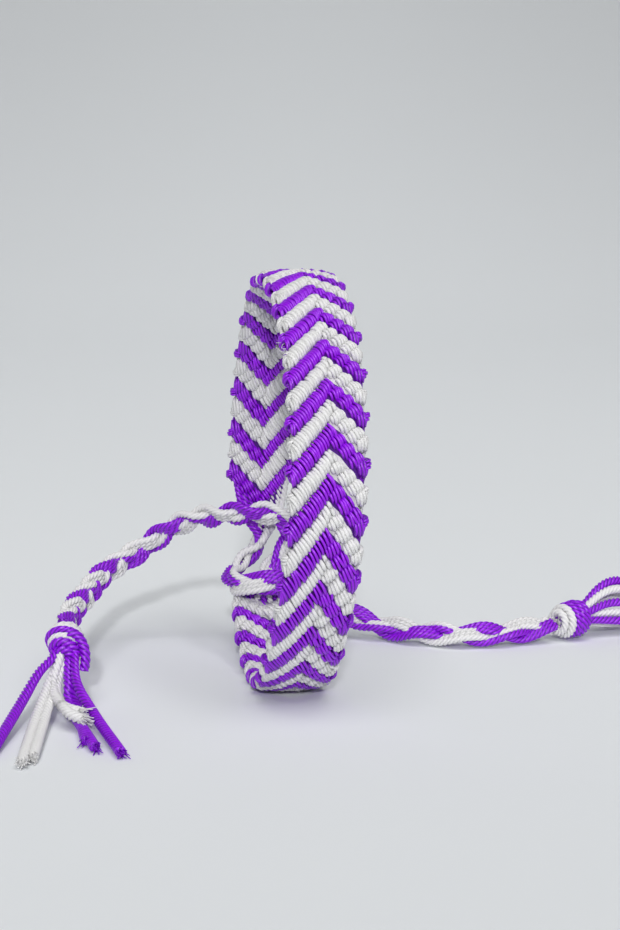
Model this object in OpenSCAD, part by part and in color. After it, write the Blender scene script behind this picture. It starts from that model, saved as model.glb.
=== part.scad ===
// A knotted chevron bracelet in purple and white cotton thread.
// A flat band of V-shaped rows of knots is bent into an open loop that stands on its outer face.
// Each end of the band runs on into a braid of three strands. The two braids are tied in one
// half knot across the gap, and each ends in a knot and a tassel of eight threads.
// Units are millimetres, Z is up, and the origin is on the floor under the middle of the band.

/* [Loop] */
// Outer radius of the loop
loop_radius = 26; // [24:0.5:30]
// How far the loop is pressed flat where it rests
rest_flat = 0.25; // [0.1:0.05:0.6]
// Sideways lean of the loop for each millimetre of height
lean = 0.0365; // [0:0.0025:0.06]

/* [Band] */
// Width of the band
band_w = 9; // [7:0.5:11]
// Thickness of the band over the knots
band_t = 2.3; // [1.8:0.1:3]
// Height of a row of knots above the groove beside it
knot_relief = 0.5; // [0.2:0.05:0.7]
// Rows of knots from the lower end to the upper end
row_count = 48; // [40:1:50]
// Angle of the loop that one row takes, in degrees
row_angle = 6.745; // [6.4:0.05:6.8]
// Angle on the loop of the first groove, at the lower end
first_groove = -126.8; // [-130:0.2:-122]
// How far the two arms of a row trail behind its point, in degrees of the loop
arm_trail = 12.8; // [9:0.2:14]
// Angle of the loop over which each end narrows into its braid
end_angle = 7; // [5:0.5:8]
// Width of the band where a braid starts
end_w = 4.2; // [3.8:0.1:5]

/* [Braids] */
// Radius of one strand of a braid
strand_r = 0.52; // [0.44:0.02:0.52]
// How far a strand swings to each side of the braid
braid_swing = 1.19; // [1.15:0.01:1.3]
// How far a strand swings over and under the braid
braid_weave = 0.94; // [0.9:0.01:1]
// Length of the left braid in which a strand comes back to its place
left_pitch = 12.5; // [12:0.5:16]
// Length of the right braid in which a strand comes back to its place
right_pitch = 18.5; // [14:0.5:20]

/* [Knots and tassels] */
// Radius of an end knot
knot_r = 2.7; // [2.4:0.1:3]
// Length of an end knot along its braid
knot_len = 4.6; // [4:0.1:5.2]
// Diameter of one thread
thread_d = 1.3; // [1:0.05:1.4]

/* [Hidden] */

purple = [0.42, 0.04, 0.78];
white = [0.90, 0.91, 0.89];
mixed = [0.66, 0.48, 0.84];

gap = 0.15;                          // clear space between pieces that meet
loop_z = loop_radius - rest_flat;    // height of the middle of the loop
mid_r = loop_radius - band_t / 2;    // radius of the middle of the band
rings_per_row = 4;
pressed_angle = 7;                   // half of the loop's angle over which the rows are pressed smooth
inner_relief = 0.6;                  // depth of the grooves inside the loop, as a share of those outside
end_t = 0.85 * band_t;               // thickness of the band's narrow ends
strand_sides = 8;
strand_step = 1.4;                   // length between the rings of a strand

// Rows open a little at the near and far side of the loop and close up at its top and bottom.
row_offset = 1.5;
row_squeeze = 5;
function row_to_loop(u) = u + row_offset - row_squeeze * sin(u) * sin(u);

// Place on the loop: angle from the near side over the top, distance from the middle, side.
function loop_point(angle, radius, x) =
    let (z = loop_z + radius * sin(angle))
    [x + lean * z, -radius * cos(angle), z];
function loop_heading(angle) = [lean * cos(angle), sin(angle), cos(angle)];

last_groove = first_groove + row_count * row_angle;
lower_end = row_to_loop(first_groove) - end_angle;
upper_end = row_to_loop(last_groove) + end_angle;

// Half of the band's cross-section: share of the half width, share of the half thickness.
section = [[-1, 0], [-0.93, 0.6], [-0.55, 0.94], [0, 1], [0.55, 0.94], [0.93, 0.6],
           [1, 0], [0.93, -0.6], [0.55, -0.94], [0, -1], [-0.55, -0.94], [-0.93, -0.6]];

// Hand-chosen middle line of the left braid, from the band's lower end to its end knot.
left_route = [[1.4, 19.6, 10.6], [3.3, 21, 12.8], [4.5, 21, 15.4], [3.5, 20.2, 17.7],
              [1.1, 19.9, 18.6], [-2.3, 20.6, 18.5], [-6.5, 23.2, 17.9], [-8.9, 25, 17.3],
              [-11.9, 26.6, 15.5], [-13.6, 27.2, 14.1], [-15.7, 26.9, 12.8], [-18.1, 25.4, 11.8],
              [-20.4, 22.6, 11], [-22, 19.6, 10.2], [-23.4, 15.4, 9.6], [-25, 10.4, 9.1],
              [-26.2, 5.2, 8.8], [-27, 0.6, 8.5]];
left_knot = [-27.5, -5.9, 7.3];
left_knot_axis = [-0.1, -0.84, -0.54];

// Hand-chosen middle line of the right braid, from the band's upper end to its end knot.
right_route = [[-0.4, 22.7, 13.2], [-2.2, 21.9, 11.7], [-3.9, 19.8, 10.4], [-3.7, 16.7, 9.8],
               [-1.4, 14.5, 9.9], [1.6, 14.3, 10.1], [4.6, 16, 9.2], [7.2, 19, 7.4],
               [10, 22, 5.2], [13.4, 23.4, 3.3], [17, 21.6, 2.1], [21, 18.6, 1.9],
               [25, 16, 1.9], [29, 14.8, 1.9], [33, 15, 1.95], [37, 16, 2.2]];
right_knot = [42.6, 17.4, 2.9];
right_knot_axis = [0.95, 0.25, 0.14];

// Threads of a tassel: start on the knot's face [across, up], places on the way, the tip.
left_threads = [[[-1.3, 0.3], [-31, -10.9, 4.9], [-33.4, -17, 2.6], [-36.6, -28.6, 0.7]],
                [[-1, -0.6], [-30.1, -11.9, 3.2], [-31.8, -19.9, 1.3], [-33.5, -33.1, 0.7]],
                [[-0.5, -0.9], [-29.4, -11.8, 2.9], [-30.8, -19.7, 1.2], [-32.3, -31.4, 0.7]],
                [[-0.5, 0.3], [-29.3, -10.9, 3.4], [-28.5, -16.2, 2.4], [-26.2, -18.7, 2]],
                [[-0.1, -0.4], [-28.9, -11.3, 3], [-28.1, -18.2, 2.2], [-26.1, -21.1, 1.7]],
                [[0.4, -0.1], [-27.5, -10.6, 3.4], [-27.3, -13.5, 1.2], [-25.5, -28.6, 0.7]],
                [[0.9, -0.7], [-26.7, -10.4, 3.3], [-26.6, -13.6, 1.2], [-26.3, -25.9, 0.7]],
                [[1.2, 0.3], [-26.5, -12.1, 3.8], [-24.8, -19.2, 1.6], [-22.9, -31, 0.7]]];
right_threads = [[[0.6, 0.9], [50.6, 21.6, 7.4], [63, 28.5, 3.4]],
                 [[-0.2, 1], [51, 20.6, 6.4], [64.6, 25.6, 2.2]],
                 [[-0.8, 0.5], [51.4, 20, 4.6], [65.6, 22.6, 1.2]],
                 [[1, 0.1], [50.4, 22.8, 5], [61.4, 31.6, 0.7]],
                 [[-0.9, -0.4], [51.6, 18.6, 2.2], [66, 19.6, 0.7]],
                 [[0.1, -0.9], [52, 21.2, 1.4], [65.4, 27.4, 0.7]],
                 [[0.8, -0.6], [50.8, 22.4, 2.4], [62.6, 30, 0.7]],
                 [[0, 0], [51.6, 19.6, 3.2], [66.4, 24, 0.7]]];

function unit(v) = v / norm(v);
function clamp(x, lo, hi) = min(max(x, lo), hi);

// Point of a smooth curve through four points in turn, between the second and the third.
function spline(p0, p1, p2, p3, t) =
    0.5 * (2 * p1 + (p2 - p0) * t + (2 * p0 - 5 * p1 + 4 * p2 - p3) * t * t
           + (3 * p1 - p0 - 3 * p2 + p3) * t * t * t);
function smooth(points, steps) =
    let (n = len(points))
    [for (i = [0 : n - 2], k = [0 : steps - 1])
         spline(points[max(i - 1, 0)], points[i], points[i + 1], points[min(i + 2, n - 1)], k / steps),
     points[n - 1]];

// Distance along a line of points at each point.
function run_lengths(p, i = 0, total = 0) =
    i == len(p) - 1 ? [total] : concat([total], run_lengths(p, i + 1, total + norm(p[i + 1] - p[i])));
// The same line with evenly spaced points.
function even_points(p, count) =
    let (s = run_lengths(p), whole = s[len(s) - 1])
    [for (k = [0 : count]) let (x = whole * k / count) point_at(p, s, x, 0)];
function point_at(p, s, x, i) =
    (i >= len(p) - 2 || s[i + 1] >= x)
    ? p[i] + (p[i + 1] - p[i]) * clamp((x - s[i]) / (s[i + 1] - s[i]), 0, 1)
    : point_at(p, s, x, i + 1);

function heading(p, i) = unit(p[min(i + 1, len(p) - 1)] - p[max(i - 1, 0)]);
// A side direction that turns as little as it can from point to point.
function sides(p, first, i = 0) =
    let (t = heading(p, i), side = unit(first - (first * t) * t))
    i == len(p) - 1 ? [side] : concat([side], sides(p, side, i + 1));

// A round bar along a line of points.
module bar(p, radius, around, first) {
    n = len(p);
    side = sides(p, first);
    points = concat(
        [for (i = [0 : n - 1], k = [0 : around - 1])
             let (t = heading(p, i), up = cross(t, side[i]), a = 360 * k / around)
             p[i] + radius * (cos(a) * side[i] + sin(a) * up)],
        [p[0], p[n - 1]]);
    skin(points, n, around);
}

// Closes rings of points into a solid; the last two points are the middles of its two ends.
module skin(points, rings, around) {
    faces = concat(
        [for (i = [0 : rings - 2], k = [0 : around - 1])
             let (a = i * around + k, b = i * around + (k + 1) % around)
             [a, b, b + around]],
        [for (i = [0 : rings - 2], k = [0 : around - 1])
             let (a = i * around + k, b = i * around + (k + 1) % around)
             [a, b + around, a + around]],
        [for (k = [0 : around - 1]) [rings * around, (k + 1) % around, k]],
        [for (k = [0 : around - 1])
             [rings * around + 1, (rings - 1) * around + k, (rings - 1) * around + (k + 1) % around]]);
    polyhedron(points = points, faces = [for (f = faces) [f[2], f[1], f[0]]], convexity = 10);
}

// One ring of the band. Its arms trail behind its point, except close to the two ends, and the
// grooves between the rows fade where the loop rests on the floor.
function band_ring(groove_angle, width, trail, bulge) =
    [for (c = section)
         let (angle = row_to_loop(groove_angle) - trail * abs(c[0]),
              raised = clamp((abs(angle + 90) - pressed_angle) / 5, 0, 1),
              sunk = knot_relief * (1 - bulge) * raised,
              half_t = band_t / 2 - sunk * (c[1] > 0 ? 1 : inner_relief))
         loop_point(angle, mid_r + c[1] * half_t, c[0] * width / 2)];

module band() {
    rings = row_count * rings_per_row;
    narrow = 4;
    body = [for (i = [0 : rings])
                let (u = first_groove + i * row_angle / rings_per_row,
                     from_end = min(u - first_groove, last_groove - u),
                     trail = arm_trail * clamp(from_end / 16, 0, 1),
                     phase = (i % rings_per_row) / rings_per_row,
                     bulge = sin(180 * phase))
                band_ring(u, band_w, trail, bulge)];
    low = [for (i = [narrow : -1 : 1])
               let (u = lower_end + end_angle * (1 - i / narrow),
                    w = band_w + (end_w - band_w) * sin(90 * i / narrow))
               [for (c = section) loop_point(u, mid_r + c[1] * end_t / 2, c[0] * w / 2)]];
    high = [for (i = [1 : narrow])
                let (u = upper_end - end_angle * (1 - i / narrow),
                     w = band_w + (end_w - band_w) * sin(90 * i / narrow))
                [for (c = section) loop_point(u, mid_r + c[1] * end_t / 2, c[0] * w / 2)]];
    all_rings = concat(low, body, high);
    color(purple)
        difference() {
            skin(concat([for (r = all_rings, p = r) p],
                        [loop_point(lower_end, mid_r, 0), loop_point(upper_end, mid_r, 0)]),
                 len(all_rings), len(section));
            translate([-15, -20, -5]) cube([30, 40, 5]);
        }
}

// One strand of a three-strand braid. It swings from side to side once in each pitch, and over
// and under the other two twice as often. A braid is its pitch, the turn at its start, and the
// side that it swings to there.
module strand(route, braid, number) {
    line = smooth(route, 6);
    whole = run_lengths(line);
    length = whole[len(whole) - 1];
    count = round(length / strand_step);
    middle = even_points(line, count);
    side = sides(middle, braid[2]);
    path = [for (i = [0 : count])
                let (turn = braid[1] + 360 * (i * length / count) / braid[0] + 120 * number,
                     up = cross(heading(middle, i), side[i]))
                middle[i] + braid_swing * sin(turn) * side[i] + braid_weave * sin(2 * turn) * up];
    bar(path, strand_r, strand_sides, [0.3, 0.2, 1]);
}

function start_at(angle, way, space) =
    let (edge = loop_point(angle, mid_r, 0)) edge + way * (gap + space) * unit(loop_heading(angle));
function before(knot, axis, space) = knot - (knot_len / 2 + gap + space) * unit(axis);
left_line = concat([start_at(lower_end, -1, 1.2)], left_route, [before(left_knot, left_knot_axis, 1.35)]);
right_line = concat([start_at(upper_end, 1, 1.55)], right_route, [before(right_knot, right_knot_axis, 0.7)]);

left_braid = [left_pitch, 225, [-0.94, 0.11, 0.33]];
right_braid = [right_pitch, 105, [0.36, 0.93, -0.02]];

module left_tail_strand_1() { color(mixed) strand(left_line, left_braid, 0); }
module left_tail_strand_2() { color(purple) strand(left_line, left_braid, 2); }
module left_tail_strand_3() { color(white) strand(left_line, left_braid, 1); }
module right_tail_strand_1() { color(mixed) strand(right_line, right_braid, 0); }
module right_tail_strand_2() { color(purple) strand(right_line, right_braid, 2); }
module right_tail_strand_3() { color(white) strand(right_line, right_braid, 1); }

// An end knot: a round lump wrapped by four turns of thread that lie a little aslant.
module end_knot(centre, axis) {
    turns = 4;
    rings = turns * 4 + 1;
    around = 14;
    t = unit(axis);
    side = unit(cross([0, 0, 1], t));
    up = cross(t, side);
    points = [for (i = [0 : rings - 1], k = [0 : around - 1])
                  let (f = i / (rings - 1), a = 360 * k / around,
                       body = knot_r * (0.62 + 0.33 * sin(180 * f)),
                       r = body + 0.05 * knot_r * (1 - cos(360 * turns * f)) / 2,
                       slant = 0.5 * sin(180 * f) * cos(a))
                  centre + t * (knot_len * (f - 0.5) + slant) + r * (cos(a) * side + sin(a) * up)];
    skin(concat(points, [centre - t * knot_len / 2, centre + t * knot_len / 2]), rings, around);
}
module left_end_knot() { color(purple) end_knot(left_knot, left_knot_axis); }
module right_end_knot() { color(purple) end_knot(right_knot, right_knot_axis); }

// A tassel: eight threads that start in one flat head against the front of the knot.
module tassel(centre, axis, threads) {
    t = unit(axis);
    side = unit(cross([0, 0, 1], t));
    up = cross(t, side);
    face = centre + t * (knot_len / 2 + gap);
    union() {
        bar([face, face + t * 0.8], knot_r * 0.62, 10, side);
        for (row = threads) {
            root = face + t * 0.3 + row[0][0] * side + row[0][1] * up;
            way = [for (i = [1 : len(row) - 1]) row[i]];
            line = even_points(smooth(concat([root, root + 1.2 * t], way), 6), 12);
            bar(line, thread_d / 2, 6, side);
        }
    }
}
module left_tassel() { color(purple) tassel(left_knot, left_knot_axis, left_threads); }
module right_tassel() { color(purple) tassel(right_knot, right_knot_axis, right_threads); }

band();
left_tail_strand_1();
left_tail_strand_2();
left_tail_strand_3();
right_tail_strand_1();
right_tail_strand_2();
right_tail_strand_3();
left_end_knot();
right_end_knot();
left_tassel();
right_tassel();
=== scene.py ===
"""A knotted chevron bracelet in purple and white cotton thread, standing on a pale floor.

Places are worked out in millimetres in the frame's own axes and become metres when a mesh is
made. The band is drawn ply by ply: every knot of a row is a few short ridges laid side by side
over a plain core. The braids, end knots and tassels are plied threads swept along paths, and
thin fibres fray from the tassels' tips and from one edge of the band.
"""

import bpy
import numpy as np
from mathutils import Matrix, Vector


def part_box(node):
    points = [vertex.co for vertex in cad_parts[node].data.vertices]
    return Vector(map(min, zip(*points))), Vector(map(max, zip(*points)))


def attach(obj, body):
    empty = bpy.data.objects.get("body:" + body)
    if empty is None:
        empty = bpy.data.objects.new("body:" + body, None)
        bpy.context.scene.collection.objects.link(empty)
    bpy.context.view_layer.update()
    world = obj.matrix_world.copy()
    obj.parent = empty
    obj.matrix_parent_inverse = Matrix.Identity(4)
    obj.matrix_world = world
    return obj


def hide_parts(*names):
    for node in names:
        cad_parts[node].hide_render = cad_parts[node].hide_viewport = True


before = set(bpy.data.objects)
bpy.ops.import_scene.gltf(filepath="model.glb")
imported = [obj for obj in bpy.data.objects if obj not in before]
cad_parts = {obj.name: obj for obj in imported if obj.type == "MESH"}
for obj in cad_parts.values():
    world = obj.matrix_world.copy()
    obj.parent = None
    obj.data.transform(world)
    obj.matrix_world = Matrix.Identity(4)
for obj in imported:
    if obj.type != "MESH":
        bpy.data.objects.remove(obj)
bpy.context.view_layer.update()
MM = 0.001
rng = np.random.default_rng(11)
PURPLE, WHITE = 1, 0  # odd rows are purple

# The loop and its rows: lengths in millimetres, angles in degrees
band_high = np.array(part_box("band")[1]) / MM
LOOP_R = band_high[1]  # outer radius of the loop
LOOP_Z = band_high[2] - LOOP_R  # height of the middle of the loop
LEAN = 0.0365  # sideways lean for each millimetre of height
SWAY_BUMPS = ((-0.72, -44, 32), (-0.4, 85, 28))  # height, middle and width of each bend aside
LOWEST = 0.12  # no path comes nearer to the floor
BAND_W, BAND_T = 9.0, 2.3
HALF_W = BAND_W / 2
MID_R = LOOP_R - BAND_T / 2
ROWS = 48
ROW_ANGLE = 6.745  # angle of the loop that one row takes
FIRST_GROOVE = -126.8  # where the first row starts, at the lower end
LAST_GROOVE = FIRST_GROOVE + ROWS * ROW_ANGLE
# By the first all rows move on, and by the second those at top and bottom move back
ROW_OFFSET, ROW_SQUEEZE = 1.5, 5.0
ARM_TRAIL = 12.8  # angle by which a row's arms trail behind its point
ARM_SLOPE = MID_R * np.radians(ARM_TRAIL) / HALF_W  # how steeply an arm falls away
START_TRAIL, START_RUN = 0.5, 16  # share of the trail at the lower end, angle to all of it
PULL_FROM, PULL_RISE = -95, 55  # where the pulled rows begin, angle to the full pull
PULL_TO, PULL_FALL = 18, 28  # where they end, angle over which the pull goes
PULLED_TRAIL = 0.36  # share of the trail that the pull adds
END_ANGLE = 7.0  # angle over which each end narrows
ROUNDING = 2 / 3  # power of the sine and cosine in rounded cross-sections

# The knots of the band
PLY = 0.40  # width of one ply on the knots
PLY_HIGH = 0.27  # half the height of a ply
KNOT_TOP = BAND_T / 2 + 0.08  # height of a knot's top over the middle of the band
CORE_TOP = 0.34  # height of the plain core under the knots
POINT_X = 0.28  # the point of a row lies this far right of the middle
TIP_X = 4.28  # the knots of a row end this far from the band's middle
EDGE_X = 4.3  # edge threads and stray fibres start this far from it
LEAST_LIFT = 0.05  # the least share of the thickness in a normal

# The braids, knots and tassels. The middle lines run from the band's end to the end knot.
LEFT_ROUTE = [[0.3, 17.7, 8.3], [1.4, 19.6, 10.6], [3.3, 21, 12.8], [4.5, 21, 15.4],
              [3.5, 20.2, 17.7], [1.1, 19.9, 18.6], [-2.3, 20.6, 18.5], [-6.5, 23.2, 17.9],
              [-8.9, 25, 17.3], [-11.9, 26.6, 15.5], [-13.6, 27.2, 14.1], [-15.7, 26.9, 12.8],
              [-18.1, 25.4, 11.8], [-20.4, 22.6, 11], [-22, 19.6, 10.2], [-23.4, 15.4, 9.6],
              [-25, 10.4, 9.1], [-26.2, 5.2, 8.8], [-27, 0.6, 8.5], [-27.25, -3.7, 8.9]]
RIGHT_ROUTE = [[0.5, 22.5, 15.3], [-0.4, 22.7, 13.2], [-2.2, 21.9, 11.7], [-3.9, 19.8, 10.4],
               [-3.7, 16.7, 9.8], [-1.4, 14.5, 9.9], [1.6, 14.3, 10.1], [4.6, 16, 9.2],
               [7.2, 19, 7.4], [10, 22, 5.2], [13.4, 23.4, 3.3], [17, 21.6, 2.1],
               [21, 18.6, 1.9], [25, 16, 1.9], [29, 14.8, 1.9], [33, 15, 1.95], [37, 16, 2.2],
               [40, 16.7, 2.5]]
LEFT_KNOT, LEFT_AXIS = np.array([-27.5, -5.9, 7.3]), np.array([-0.1, -0.84, -0.54])
RIGHT_KNOT, RIGHT_AXIS = np.array([42.6, 17.4, 2.9]), np.array([0.95, 0.25, 0.14])
BRAID_SWING, BRAID_WEAVE = 0.78, 0.66  # how far a strand swings sideways, and over and under
# Pitch of each braid, the turn at its start in degrees, and the side that it swings to there
LEFT_BRAID = (12.5, 225, (-0.94, 0.11, 0.33))
RIGHT_BRAID = (18.5, 105, (0.36, 0.93, -0.02))
THREAD_R = 0.62  # radius of a loose thread
TIGHT_R = 0.5  # radius of a thread pressed in a braid
THREAD_PITCH = 2.9  # length in which the plies of a thread turn once
THREAD_PLIES = 4
THREAD_SIDES = 16  # points round a thread
PLY_PLACE, PLY_FILL = 0.56, 0.035  # a ply's middle in its thread, and the grooves' fill
BRAID_STEP, TASSEL_STEP = 0.15, 0.14  # between the points of a path


def unit(v):
    """Vectors of length one."""
    return v / np.maximum(np.linalg.norm(v, axis=-1, keepdims=True), 1e-9)


def row_to_loop(u):
    """Angle on the loop of a groove angle: shifted, and squeezed by the square of its sine."""
    return u + ROW_OFFSET - ROW_SQUEEZE * np.sin(np.radians(u)) ** 2


def thickness_at(x):
    """Share of the full height at a place across the band: (1 - |x / half width|^3)^(1/3)."""
    return np.cbrt(np.clip(1 - np.abs(x / HALF_W) ** 3, 0.0, 1))


def sway(angle):
    """How far the band bends aside, in mm: two soft bumps to the left, below the near side and at
    the top, each height * exp(-((angle - middle) / width)^2)."""
    return sum(height * np.exp(-((angle - middle) / width) ** 2)
               for height, middle, width in SWAY_BUMPS)


def pulled_share(u):
    """How much the rows were pulled, 0 to 1: full on the lower near side, with smooth steps
    s * s * (3 - 2 s) on both sides of it."""
    rise = np.clip((u - PULL_FROM) / PULL_RISE, 0, 1)
    fall = np.clip((PULL_TO - u) / PULL_FALL, 0, 1)
    return fall * fall * (3 - 2 * fall) * rise * rise * (3 - 2 * rise)


def trail_share(u):
    """Trail of a row's arms as a share of the usual one: less at the lower end, where the rows
    start, and more where the rows were pulled."""
    start = np.clip((u - FIRST_GROOVE) / START_RUN, 0, 1)
    return START_TRAIL + (1 - START_TRAIL) * start + PULLED_TRAIL * pulled_share(u)


def loop_point(x, angle, height):
    """Point on the loop: angle in degrees from the near side over the top, height over the
    middle of the band, and place across it, shifted by the lean and the sway."""
    a = np.radians(angle)
    r = MID_R + height
    z = np.maximum(LOOP_Z + r * np.sin(a), LOWEST)
    return np.stack([x + LEAN * z + sway(angle), -r * np.cos(a), z], axis=-1)


def skin(rings, around):
    """Faces of a grid of rings: quads between neighbours in both directions, and a fan at each
    end to a point of its own, which follows the grid's points. Returns quads, then triangles."""
    i, k = np.meshgrid(np.arange(rings - 1), np.arange(around), indexing="ij")
    k1 = (k + 1) % around
    quads = np.stack([i * around + k, i * around + k1,
                      (i + 1) * around + k1, (i + 1) * around + k], -1)
    k = np.arange(around)
    k1 = (k + 1) % around
    first, last = rings * around, rings * around + 1
    top = (rings - 1) * around
    fans = np.concatenate([np.stack([np.full(around, first), k1, k], -1),
                           np.stack([np.full(around, last), top + k, top + k1], -1)])
    return quads.reshape(-1, 4), fans


def lobes(angle, count):
    """Outline of a bundle of round plies: in each lobe,
    r = d cos(p) + sqrt(q^2 - d^2 sin(p)^2 + fill), with p the angle from the lobe's middle,
    d the ply's place and q = 1 - d its radius."""
    if count < 2:
        return np.ones_like(angle)
    p = (angle + np.pi / count) % (2 * np.pi / count) - np.pi / count
    root = (1 - PLY_PLACE) ** 2 - (PLY_PLACE * np.sin(p)) ** 2 + PLY_FILL
    return PLY_PLACE * np.cos(p) + np.sqrt(root)


def sweep(paths, ups, radius, around, flat=1.0, plies=1, pitch=0.0):
    """Tubes along paths, all worked out at once. A point is
    path + radius * outline * (flat * cos(a) * side + sin(a) * up), where the outline turns
    with the twist. paths and ups: (tubes, rings, 3); radius: (tubes, rings) or a number.
    Returns vertices, quads, triangles, and the UV of each corner (turns around, mm along)."""
    tubes, rings, _ = paths.shape
    tangent = unit(np.gradient(paths, axis=1))
    side = unit(np.cross(np.broadcast_to(ups, paths.shape), tangent))
    up = np.cross(tangent, side)
    step = np.linalg.norm(np.diff(paths, axis=1), axis=-1)
    along = np.concatenate([np.zeros((tubes, 1)), np.cumsum(step, axis=1)], axis=1)
    radius = np.broadcast_to(radius, (tubes, rings))
    a = 2 * np.pi * np.arange(around) / around
    turn = -2 * np.pi * along / pitch if pitch else np.zeros_like(along)
    b = a[None, None, :] + turn[:, :, None]
    r = radius[:, :, None] * lobes(np.broadcast_to(a, b.shape), plies)
    ring = (paths[:, :, None, :] + (flat * r * np.cos(b))[..., None] * side[:, :, None, :]
            + (r * np.sin(b))[..., None] * up[:, :, None, :])
    points = np.concatenate([ring.reshape(tubes, -1, 3), paths[:, [0, -1]]], axis=1)
    quads, fans = skin(rings, around)
    uv_ring = np.stack(np.broadcast_arrays(np.arange(around)[None, None, :] / around,
                                           along[:, :, None]), -1).reshape(tubes, -1, 2)
    uv_ends = np.stack([np.zeros((tubes, 2)), along[:, [0, -1]]], -1)
    uv = np.concatenate([uv_ring, uv_ends], axis=1)
    quad_uv, fan_uv = uv[:, quads], uv[:, fans]
    last_side = quads[:, 1] % around == 0  # these quads end a turn, at 1 and not at 0
    quad_uv[:, last_side, 1:3, 0] = 1.0
    shift = (np.arange(tubes) * points.shape[1])[:, None, None]
    return (points.reshape(-1, 3), (quads[None] + shift).reshape(-1, 4),
            (fans[None] + shift).reshape(-1, 3), quad_uv.reshape(-1, 4, 2),
            fan_uv.reshape(-1, 3, 2))


def make_mesh(name, points, quads, fans, quad_uv=None, fan_uv=None):
    """Mesh object from whole arrays: loops are the quads' corners, then the triangles'."""
    mesh = bpy.data.meshes.new(name)
    mesh.vertices.add(len(points))
    mesh.vertices.foreach_set("co", (points * MM).astype(np.float32).ravel())
    corners = np.concatenate([quads.ravel(), fans.ravel()])
    mesh.loops.add(len(corners))
    mesh.loops.foreach_set("vertex_index", corners.astype(np.int32))
    starts = np.concatenate([np.arange(len(quads)) * 4, len(quads) * 4 + np.arange(len(fans)) * 3])
    mesh.polygons.add(len(starts))
    mesh.polygons.foreach_set("loop_start", starts.astype(np.int32))
    mesh.polygons.foreach_set("use_smooth", np.full(len(starts), True))
    if quad_uv is not None:
        layer = mesh.uv_layers.new(name="thread")
        uv = np.concatenate([quad_uv.reshape(-1, 2), fan_uv.reshape(-1, 2)])
        layer.data.foreach_set("uv", uv.astype(np.float32).ravel())
    mesh.update(calc_edges=True)
    mesh.validate()
    piece = bpy.data.objects.new(name, mesh)
    bpy.context.scene.collection.objects.link(piece)
    return piece


def join(parts):
    """Several sweeps as one: the same five arrays, with the faces shifted."""
    shift, out = 0, [[], [], [], [], []]
    for points, quads, fans, quad_uv, fan_uv in parts:
        for store, values in zip(out, (points, quads + shift, fans + shift, quad_uv, fan_uv)):
            store.append(values)
        shift += len(points)
    return [np.concatenate(values) for values in out]


def finish_piece(piece, material, node):
    """Gives a piece its material and its body, and hides the CAD part that it stands for."""
    piece.data.materials.append(material)
    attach(piece, "root")
    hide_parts(node)


# Materials
def new_material(name):
    """A material with nodes, its tree and its shader."""
    material = bpy.data.materials.new(name)
    material.use_nodes = True
    return material, material.node_tree, material.node_tree.nodes["Principled BSDF"]


def new_group(name, inputs, outputs):
    """Empty shader node group with named inputs (name, kind, default) and outputs."""
    group = bpy.data.node_groups.new(name, "ShaderNodeTree")
    for label, kind, default in inputs:
        socket = group.interface.new_socket(label, in_out="INPUT", socket_type=kind)
        socket.default_value = default
    for label, kind in outputs:
        group.interface.new_socket(label, in_out="OUTPUT", socket_type=kind)
    return group, group.nodes.new("NodeGroupInput"), group.nodes.new("NodeGroupOutput")


def add(tree, kind, sockets=(), **values):
    """Shader node of a kind. values set its properties, and sockets is a list of (input,
    source), where a source is an output socket or a constant."""
    node = tree.nodes.new("ShaderNode" + kind)
    for key, value in values.items():
        setattr(node, key, value)
    for target, source in sockets:
        if isinstance(source, bpy.types.NodeSocket):
            tree.links.new(source, node.inputs[target])
        else:
            node.inputs[target].default_value = source
    return node


def calc(tree, operation, a, b=0.0, clamp=False):
    """Output of a Math node."""
    return add(tree, "Math", [(0, a), (1, b)], operation=operation, use_clamp=clamp).outputs[0]


FIBRES_AROUND, FIBRE_LENGTH = 26.0, 1.6  # fine fibres round a thread, and their length in mm
FIBRE_SLANT = 1.1  # how far they turn for each millimetre along
STREAK = 1.1  # how strongly the fibres change the dye
STREAK_GLOSS = -0.25  # and the roughness
DRIFT, DRIFT_SCALE = 0.25, 420.0  # slow change of the dye over the object
USUAL_DYE = 0.62  # place between the dark dye, which is also the painted shade colour, and the full one
VALLEY_SHADE_FROM, VALLEY_SHADE_TO = 0.2, 0.48  # parts of a ply's width from its crown, between which the valleys' painted shade grows


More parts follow.
